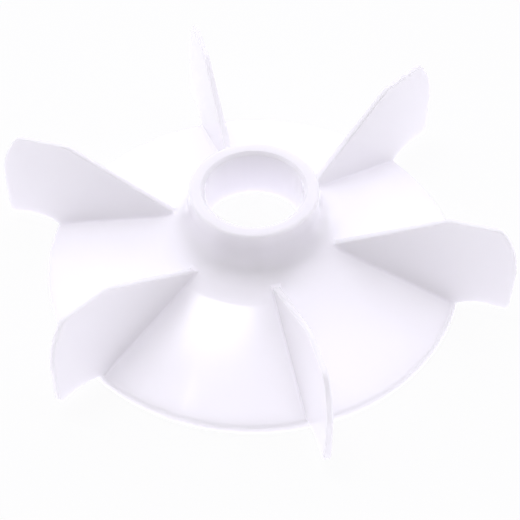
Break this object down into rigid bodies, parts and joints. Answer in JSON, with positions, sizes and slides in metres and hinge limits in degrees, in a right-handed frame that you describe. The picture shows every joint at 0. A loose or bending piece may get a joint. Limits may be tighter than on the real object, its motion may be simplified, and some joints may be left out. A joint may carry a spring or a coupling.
{
  "type": "radial blade cooling fan impeller",
  "caption": "White moulded fan impeller: flat radial blades stand on a shallow conical disc that flares up into a bored hub.",
  "frame": {"origin": "on the shaft axis, in the plane of the disc's rim, on which the part stands", "axes": "+Z along the shaft axis towards the hub's open end; +X along one pair of blades"},
  "size_m": [0.242, 0.2106, 0.0568],
  "materials": {
    "white_plastic": "satin, as moulded"
  },
  "bodies": {
    "root": {"impeller": "white_plastic"}
  },
  "joints": []
}
